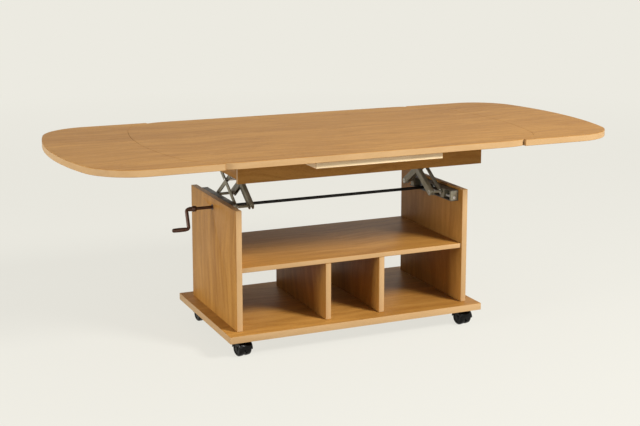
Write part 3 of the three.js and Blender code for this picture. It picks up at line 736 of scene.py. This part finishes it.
class TABLE_OT_lift(bpy.types.Operator):
    """Finishes the scissor arms, rails, sliders and screws of both lift units"""

    bl_idname = "table.lift"
    bl_label = "Lift"

    def execute(self, context):
        lift = context.scene.lift
        make_heads_tree()
        make_thread_tree()
        for side, sign in SIDES.items():
            for place in ("outer_a", "outer_b", "inner_a", "inner_b"):
                refined(f"arm_{place}_{side}", "lacquered_steel", lift.arris)
            for name in ("upper_rail", "lower_pivot", "upper_pivot", "screw_slider", "upper_slider"):
                refined(f"{name}_{side}", "lacquered_steel", lift.arris)
            refined(f"lower_rail_{side}", "rail_steel", lift.arris)
            refined(f"end_bearing_{side}", "lacquered_steel", lift.arris)
            refined(f"gearbox_{side}", "black_lacquer", lift.arris)
            self.centre_pin(side)
            self.screw(lift, side, sign)
            self.rings(lift, side, sign)
            self.fixings(lift, side, sign)
        return {"FINISHED"}

    def centre_pin(self, side):
        """The chamfered pin that a unit's two scissors share."""
        node = f"centre_pin_{side}"
        low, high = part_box(node)
        radius = (high.z - low.z) / 2
        middle = (low + high) / 2
        reach, bevel = (high.x - low.x) / 2, radius / 6
        profile = [(-reach, 0), (-reach, radius - bevel), (bevel - reach, radius),
                   (reach - bevel, radius), (reach, radius - bevel), (reach, 0)]
        turned(node, profile, middle, ALONG_X, "bright_steel")

    def screw(self, lift, side, sign):
        """The threaded spindle, with its bevel gear by the cross shaft."""
        node = f"lift_screw_{side}"
        low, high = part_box(node)
        gear_radius = (high.x - low.x) / 2
        axis = -sign * ALONG_Y
        centre = Vector(((low.x + high.x) / 2, 0, (low.z + high.z) / 2))
        bore, far_end = sorted((abs(low.y), abs(high.y)))
        start = gear_radius + lift.gear_width
        span = far_end - start
        piece = new_piece(f"{node}_finished", bpy.data.meshes.new(node), [])
        apply_nodes(piece, "wound_thread", {"Core": lift.screw_radius - lift.thread_depth / 2,
                    "Ridge": lift.thread_depth / 2, "Length": span,
                    "Turns": span / lift.thread_pitch, "Finish": bpy.data.materials["bright_steel"]})
        work = bmesh.new()
        work.from_mesh(piece.data)
        turn = UPRIGHT.rotation_difference(axis).to_matrix().to_4x4()
        place = Matrix.Translation(centre + axis * start) @ turn
        bmesh.ops.transform(work, verts=work.verts, matrix=place)
        toothed_gear(work, centre, axis, bore, gear_radius, lift.teeth, lift.gear_width)
        bmesh.ops.recalc_face_normals(work, faces=work.faces)
        work.to_mesh(piece.data)
        work.free()
        crease(piece.data)
        stand_for(piece, node)

    def rings(self, lift, side, sign):
        """Retaining rings on the pins, a hair clear of the arms' faces."""
        stand_off, dome = lift.ring_width * 0.6, 0.02
        for node in ("lower_pivot", "upper_pivot", "screw_slider", "upper_slider", "centre_pin"):
            pin = f"{node}_{side}"
            low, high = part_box(pin)
            kind = "b" if node in ("lower_pivot", "upper_slider") else "a"
            points = []
            for place in ("outer", "inner"):
                arm_low, arm_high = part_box(f"arm_{place}_{kind}_{side}")
                face = arm_low.x if sign > 0 else arm_high.x
                points.append(Vector((face - sign * stand_off, (low.y + high.y) / 2,
                                      self.pin_height(node, low, high))))
            put_heads(f"retaining_rings_{node}_{side}", BODY_OF[pin], points, ALONG_X,
                      lift.ring_radius, lift.ring_width, dome)

    def pin_height(self, node, low, high):
        """Height of a pin: the blocks of both rails hold theirs at one height above the rail."""
        if node == "centre_pin":
            return (low.z + high.z) / 2
        pivot = "lift" if node in ("lower_pivot", "screw_slider") else "top_pivot_left"
        return JOINTS[pivot]["pos_m"][2]

    def fixings(self, lift, side, sign):
        """Screws that hold the lower rail to the panel and the upper rail to the side skirt."""
        thickness = lift.head_height / 2
        inset = sign * (lift.rail_wall + thickness / 2)
        low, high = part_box(f"lower_rail_{side}")
        near, middle = min(abs(low.y), abs(high.y)), (low.z + high.z) / 2
        lower = [(sign * near * share, middle) for share in (0.95, 0.5, -0.28)]
        low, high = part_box(f"upper_rail_{side}")
        lip = high.z - lift.lip_height / 2
        upper = [(low.y * share + high.y * (1 - share), lip) for share in (0.08, 0.36, 0.64, 0.92)]
        for rail, body, places, dome in (("lower", "cabinet", lower, 0.2),
                                         ("upper", "top_frame", upper, 0.3)):
            low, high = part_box(f"{rail}_rail_{side}")
            wall = (high.x if sign > 0 else low.x) - inset
            put_heads(f"rail_screws_{rail}_{side}", body, [Vector((wall, *place)) for place in places],
                      -sign * ALONG_X, lift.head_radius, thickness, dome)


# Crank.


class TABLE_OT_crank(bpy.types.Operator):
    """Makes the crank, its turning grip, the cross shaft and the bush in the panel"""

    bl_idname = "table.crank"
    bl_label = "Crank and shaft"

    def execute(self, context):
        crank, lift = context.scene.crank, context.scene.lift
        axis = Vector(JOINTS["crank_turn"]["pos_m"])
        grip_axis = Vector(JOINTS["grip_turn"]["pos_m"])
        self.shaft(crank, lift, axis)
        self.bush(axis)
        self.arm(crank, axis, grip_axis)
        self.grip(crank, grip_axis)
        return {"FINISHED"}

    def shaft(self, crank, lift, axis):
        """The cross shaft with its two bevel gears, bronze where it stands out of the panel."""
        low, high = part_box("cross_shaft")
        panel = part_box("side_panel_left")[0].x
        gear_radius, radius = (high.z - low.z) / 2, crank.shaft_radius
        bevel = radius / 6
        profile = [(low.x, 0), (low.x, radius - bevel), (low.x + bevel, radius), (panel, radius),
                   (high.x - bevel, radius), (high.x, radius - bevel), (high.x, 0)]
        work = bmesh.new()
        add_turned(work, profile, (0, axis.y, axis.z), ALONG_X)
        for side, sign in SIDES.items():
            screw_low, screw_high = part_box(f"lift_screw_{side}")
            apex = ((screw_low.x + screw_high.x) / 2, axis.y, axis.z)
            bore = min(abs(screw_low.y), abs(screw_high.y))
            toothed_gear(work, apex, -sign * ALONG_X, bore, gear_radius, lift.teeth, lift.gear_width)
        piece = shaped("cross_shaft", work, ["black_lacquer", "bronze_lacquer"])
        for face in piece.data.polygons:
            face.material_index = 1 if face.center.x < panel else 0

    def bush(self, axis):
        """A turned bush with a thin flange on the panel's outer face."""
        low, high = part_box("shaft_bush")
        radius = (high.z - low.z) / 2
        bore, flange, wall = radius * 0.68, radius * 1.2, radius * 0.15
        outer, softer = low.x - wall, flange * 0.92
        profile = [(outer, bore), (outer, softer), (low.x - wall / 2, flange), (low.x, flange),
                   (low.x, radius), (high.x, radius), (high.x, bore), (outer, bore)]
        turned("shaft_bush", profile, (0, axis.y, axis.z), ALONG_X, "bronze_lacquer")

    def arm(self, crank, axis, grip_axis):
        """The bent bar, with a ball hub on the shaft and a pin and cap for the grip."""
        low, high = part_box("crank_arm")
        grip_low, grip_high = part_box("crank_grip")
        elbow = grip_high.x + crank.elbow_gap
        bend = crank.bend_radius
        down = (grip_axis - axis) * Vector((0, 1, 1))
        throw = down.length
        down.normalize()

        def at(x, drop):
            return Vector((x, axis.y, axis.z)) + down * drop

        steps = 10
        angles = [math.pi / 2 * i / steps for i in range(steps + 1)]
        turns = [(bend * (1 - math.sin(a)), bend * (1 - math.cos(a))) for a in angles]
        path = [at(high.x - crank.hub_length, 0)]
        path += [at(elbow + ahead, aside) for ahead, aside in turns]
        path += [at(elbow - aside, throw - ahead) for ahead, aside in turns[:-1]]
        path.append(at(grip_high.x + crank.clearance, throw))
        work = bmesh.new()
        self.sweep(work, path, crank.bar_radius)
        reach, radius, fullness, steps = crank.hub_length / 2, crank.hub_radius, 0.6, 16
        rounds = [math.pi * i / steps for i in range(1, steps)]
        hub = [(-reach * math.cos(a), radius * math.sin(a) ** fullness) for a in rounds]
        hub = [(-reach, 0), *hub, (reach, 0)]
        add_turned(work, hub, (high.x - reach, axis.y, axis.z), ALONG_X)
        collar_radius, collar_start = radius * 0.75, high.x - reach * 2.8
        collar = [(0, 0), (0, collar_radius), (reach, collar_radius), (reach, 0)]
        add_turned(work, collar, (collar_start, axis.y, axis.z), ALONG_X)
        pin, cap = crank.pin_radius, crank.cap_radius
        length, end = grip_high.x - grip_low.x + crank.clearance, grip_high.x - low.x
        rod = [(0, 0), (0, pin), (length, pin), (length, cap), (end - cap / 6, cap), (end, cap * 0.8),
               (end, 0)]
        add_turned(work, rod, (grip_high.x, grip_axis.y, grip_axis.z), -ALONG_X)
        shaped("crank_arm", work, ["bronze_lacquer"])

    def sweep(self, work, path, radius, steps=24):
        """A round bar along a path that lies in one plane."""
        normal = (path[-1] - path[0]).cross(path[len(path) // 2] - path[0]).normalized()
        rings = []
        for i, point in enumerate(path):
            ahead, behind = path[min(i + 1, len(path) - 1)], path[max(i - 1, 0)]
            side = (ahead - behind).normalized().cross(normal)
            rings.append([work.verts.new(point + radius * (math.cos(a) * side + math.sin(a) * normal))
                          for a in around(steps)])
        add_rings(work, rings)

    def grip(self, crank, grip_axis):
        """A turned sleeve, fuller in the middle, with two fine grooves by its ends."""
        low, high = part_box("crank_grip")
        radius, span = (high.z - low.z) / 2, high.x - low.x
        bore = radius * 0.52
        shares = ((0, -0.5), (0.02, 0), (0.09, 0.04), (0.1, -0.35), (0.115, -0.35), (0.125, 0.1),
                  (0.3, 0.7), (0.5, 1), (0.7, 0.7), (0.875, 0.1), (0.885, -0.35), (0.9, -0.35),
                  (0.91, 0.04), (0.98, 0), (1, -0.5))
        outside = [(low.x + span * share, radius - crank.grip_waist * (1 - rise))
                   for share, rise in shares]
        profile = [(low.x, bore), *outside, (high.x, bore), (low.x, bore)]
        turned("crank_grip", profile, (0, grip_axis.y, grip_axis.z), ALONG_X, "bronze_lacquer")


# Studio.


class TABLE_OT_studio(bpy.types.Operator):
    """Sets the floor, the light and the camera"""

    bl_idname = "table.studio"
    bl_label = "Studio"
    # Each lamp's place, its diameter and its share of the key light's power.
    lamps = {"key_light": ((2.4, -3.9, 3.7), 1.5, 1.0), "left_light": ((-4.5, -0.8, 1.1), 2.0, 0.34),
             "front_light": ((0.4, -5.5, 1.0), 2.6, 0.1)}
    aim = Vector((0, 0, 0.4))

    def execute(self, context):
        scene = context.scene
        studio = scene.studio
        scene.view_settings.view_transform = "Standard"
        self.world(scene, studio)
        self.floor(studio)
        self.camera(scene, studio)
        for name, (place, size, share) in self.lamps.items():
            self.lamp(name, place, size, studio.key_power * share)
        return {"FINISHED"}

    def world(self, scene, studio):
        """Even light all round, and the backdrop's colour where the world is seen."""
        scene.world = bpy.data.worlds.new("studio_world")
        graph = fresh_graph(scene.world)
        path = graph.add("ShaderNodeLightPath").outputs
        seen = graph.math("MAXIMUM", path["Is Camera Ray"], path["Is Glossy Ray"])
        seen = graph.math("MAXIMUM", seen, path["Is Transmission Ray"])
        light = graph.add("ShaderNodeBackground", {"Color": (1, 1, 1, 1), "Strength": studio.fill})
        back = graph.add("ShaderNodeBackground", {"Color": (*studio.backdrop, 1), "Strength": 1.0})
        mixed = graph.add("ShaderNodeMixShader", {0: seen, 1: light.outputs[0], 2: back.outputs[0]})
        graph.add("ShaderNodeOutputWorld", {"Surface": mixed.outputs[0]})

    def floor(self, studio):
        """A floor of the backdrop's colour that keeps a faint shadow of the table."""
        reach, near, far, near_share, unseen = 30.0, 1.6, 6.0, 0.86, (0.3, 0.28, 0.26, 1)
        corners = [(-reach, -reach, 0), (reach, -reach, 0), (reach, reach, 0), (-reach, reach, 0)]
        mesh = bpy.data.meshes.new("floor")
        mesh.from_pydata(corners, [], [(0, 1, 2, 3)])
        graph = fresh_graph(bpy.data.materials.new("floor_paint"))
        path = graph.add("ShaderNodeLightPath").outputs
        seen = graph.math("MAXIMUM", path["Is Camera Ray"], path["Is Glossy Ray"])
        place = graph.add("ShaderNodeTexCoord").outputs["Object"]
        distance = graph.add("ShaderNodeVectorMath", {0: place}, operation="LENGTH").outputs["Value"]
        share = graph.math("MULTIPLY", seen, graph.stretch(distance, near, far, near_share, 1.0))
        bounce = graph.blend(seen, unseen, (*studio.backdrop, 1))
        matt = graph.add("ShaderNodeBsdfDiffuse", {"Color": bounce})
        glow = graph.add("ShaderNodeEmission", {"Color": (*studio.backdrop, 1), "Strength": 1.0})
        mixed = graph.add("ShaderNodeMixShader", {0: share, 1: matt.outputs[0], 2: glow.outputs[0]})
        graph.add("ShaderNodeOutputMaterial", {"Surface": mixed.outputs[0]})
        new_piece("floor", mesh, ["floor_paint"])

    def camera(self, scene, studio):
        data = bpy.data.cameras.new("photo_camera")
        data.lens = studio.lens
        data.shift_y = studio.shift
        data.clip_end = 100
        camera = bpy.data.objects.new("photo_camera", data)
        scene.collection.objects.link(camera)
        camera.location = studio.stand
        camera.rotation_euler = (math.pi / 2 - studio.pitch, 0, -studio.yaw)
        scene.camera = camera

    def lamp(self, name, place, size, power):
        """A round soft lamp that looks at the table."""
        data = bpy.data.lights.new(name, "AREA")
        data.shape = "DISK"
        data.size = size
        data.energy = power
        lamp = bpy.data.objects.new(name, data)
        bpy.context.scene.collection.objects.link(lamp)
        lamp.location = place
        lamp.rotation_euler = (self.aim - Vector(place)).to_track_quat("-Z", "Y").to_euler()


class TABLE_PT_sidebar(bpy.types.Panel):
    """Lists the table's pieces and their sizes"""

    bl_idname = "TABLE_PT_sidebar"
    bl_label = "Coffee table"
    bl_space_type = "VIEW_3D"
    bl_region_type = "UI"
    bl_category = "Coffee table"

    def draw(self, context):
        layout = self.layout
        for operator, group in STEPS:
            layout.operator(operator)
            settings = getattr(context.scene, group)
            for name in settings.__annotations__:
                layout.prop(settings, name)


GROUPS = {"boards": BoardSettings, "castors": CastorSettings, "lift": LiftSettings,
          "crank": CrankSettings, "studio": StudioSettings}
STEPS = (("table.cabinet", "boards"), ("table.tabletop", "boards"), ("table.top_frame", "boards"),
         ("table.castors", "castors"), ("table.lift", "lift"), ("table.crank", "crank"),
         ("table.studio", "studio"))
CLASSES = (*GROUPS.values(), TABLE_OT_cabinet, TABLE_OT_tabletop, TABLE_OT_top_frame, TABLE_OT_castors,
           TABLE_OT_lift, TABLE_OT_crank, TABLE_OT_studio, TABLE_PT_sidebar)


def register():
    for each in CLASSES:
        bpy.utils.register_class(each)
    for name, group in GROUPS.items():
        setattr(bpy.types.Scene, name, PointerProperty(type=group))


def unregister():
    for name in GROUPS:
        delattr(bpy.types.Scene, name)
    for each in reversed(CLASSES):
        bpy.utils.unregister_class(each)


def main():
    register()
    make_materials(bpy.context.scene)
    for operator, _ in STEPS:
        family, name = operator.split(".")
        getattr(getattr(bpy.ops, family), name)()
    bpy.context.view_layer.update()


if __name__ == "__main__":
    main()
